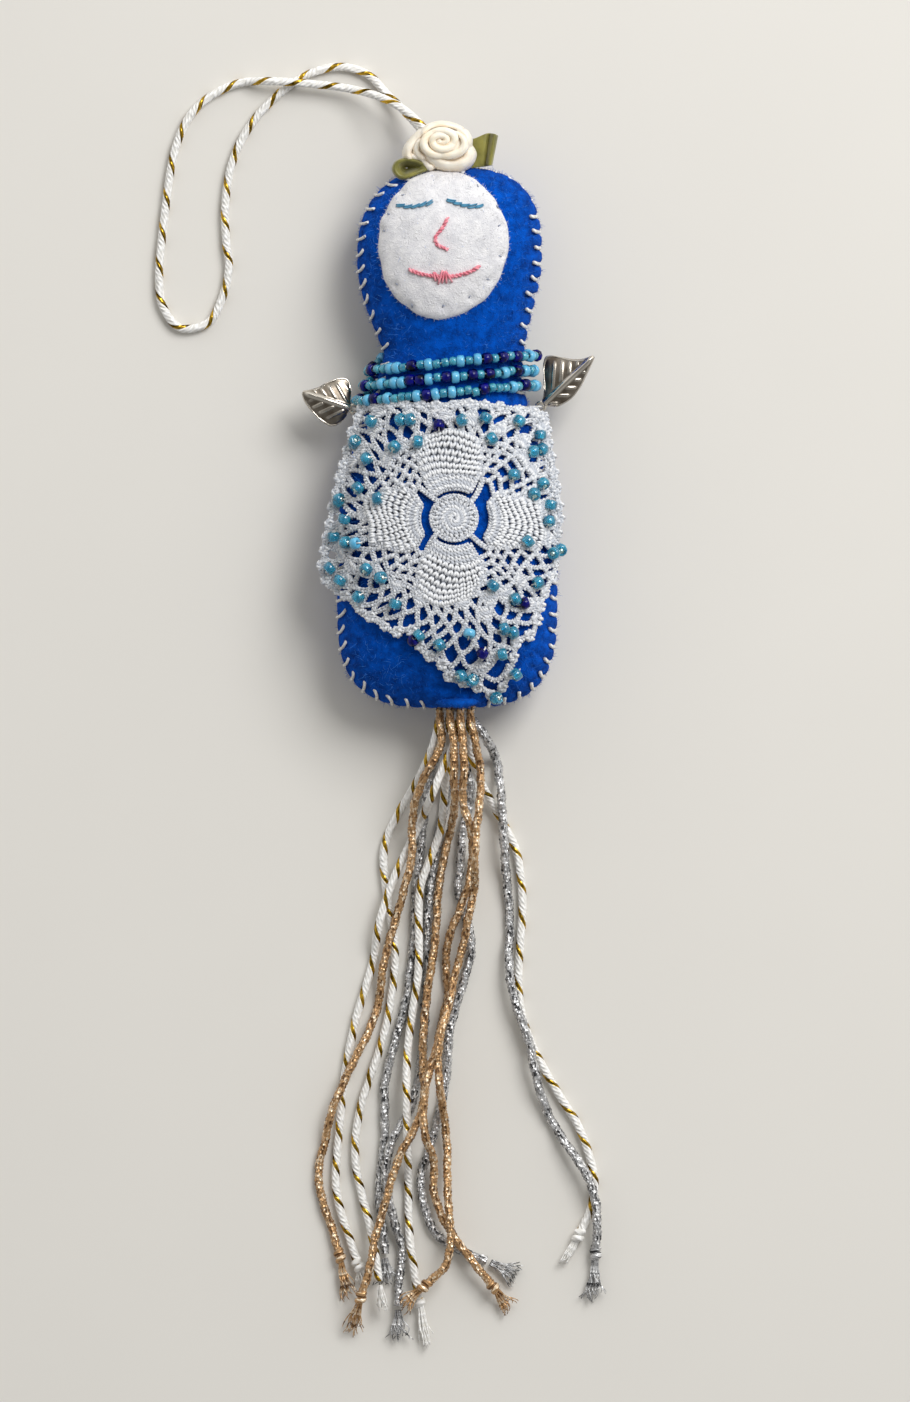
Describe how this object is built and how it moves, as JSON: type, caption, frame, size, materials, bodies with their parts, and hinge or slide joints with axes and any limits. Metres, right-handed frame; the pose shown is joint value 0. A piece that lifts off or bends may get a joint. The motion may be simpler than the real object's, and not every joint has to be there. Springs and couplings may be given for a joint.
{
  "type": "art doll",
  "caption": "Hand-sewn stuffed felt hanging doll with an embroidered face, ribbon rose, bead necklace, leaf charms, crochet doily, cord loop and cord tassel.",
  "frame": {"origin": "on the flat of the back that the doll lies on, below the middle of the torso", "axes": "+Z out of the face, +Y from the hem to the crown, +X to the viewer's right when the face is seen"},
  "size_m": [0.1074, 0.3082, 0.0281],
  "materials": {
    "blue_felt": "needle felt, matt, with loose fibres",
    "fibre_stuffing": "polyester fibre fill",
    "white_thread": "cotton sewing thread",
    "white_felt": "thin white felt",
    "blue_thread": "stranded embroidery thread",
    "pink_thread": "stranded embroidery thread",
    "cream_satin": "satin ribbon",
    "olive_satin": "satin ribbon",
    "seed_beads": "pressed glass seed beads, opaque blue, cobalt and silver-lined teal",
    "nickel_silver": "polished cast nickel silver",
    "crochet_cotton": "crochet cotton",
    "white_cord": "twisted rayon cord with a gold ply",
    "copper_cord": "knitted metallic cord",
    "silver_cord": "knitted metallic cord"
  },
  "bodies": {
    "doll": {"back_felt": "blue_felt", "front_felt": "blue_felt", "stuffing": "fibre_stuffing", "edge_stitching_left": "white_thread", "edge_stitching_right": "white_thread", "face_felt": "white_felt", "left_eye": "blue_thread", "right_eye": "blue_thread", "nose": "pink_thread", "mouth": "pink_thread", "ribbon_rose": "cream_satin", "rose_leaf_left": "olive_satin", "rose_leaf_right": "olive_satin", "doily": "crochet_cotton", "bead_strand_top": "seed_beads", "bead_strand_middle": "seed_beads", "bead_strand_bottom": "seed_beads"},
    "left_leaf": {"left_leaf_charm": "nickel_silver"},
    "right_leaf": {"right_leaf_charm": "nickel_silver"},
    "loop": {"hanging_loop": "white_cord"},
    "tassel": {"tassel_binding": "white_thread", "white_cord_1": "white_cord", "white_cord_2": "white_cord", "white_cord_3": "white_cord", "white_cord_4": "white_cord", "copper_cord_1": "copper_cord", "copper_cord_2": "copper_cord", "copper_cord_3": "copper_cord", "copper_cord_4": "copper_cord", "silver_cord_1": "silver_cord", "silver_cord_2": "silver_cord", "silver_cord_3": "silver_cord", "silver_cord_4": "silver_cord"}
  },
  "joints": [
    {"name": "left_leaf_flap", "type": "hinge", "parent": "doll", "child": "left_leaf", "pos_m": [-0.02252, 0.03495, 0.011], "axis": [0.3389, 0.9408, 0], "range_deg": [-15, 35]},
    {"name": "right_leaf_flap", "type": "hinge", "parent": "doll", "child": "right_leaf", "pos_m": [0.02223, 0.03551, 0.011], "axis": [0.6547, -0.7559, 0], "range_deg": [-15, 35]},
    {"name": "loop_swing", "type": "hinge", "parent": "doll", "child": "loop", "pos_m": [-0.0035, 0.0949, 0.011], "axis": [0, 0, 1], "range_deg": [-90, 5]},
    {"name": "tassel_swing", "type": "hinge", "parent": "doll", "child": "tassel", "pos_m": [0.0017, -0.036, 0.011], "axis": [0, 0, 1], "range_deg": [-12, 12]}
  ]
}
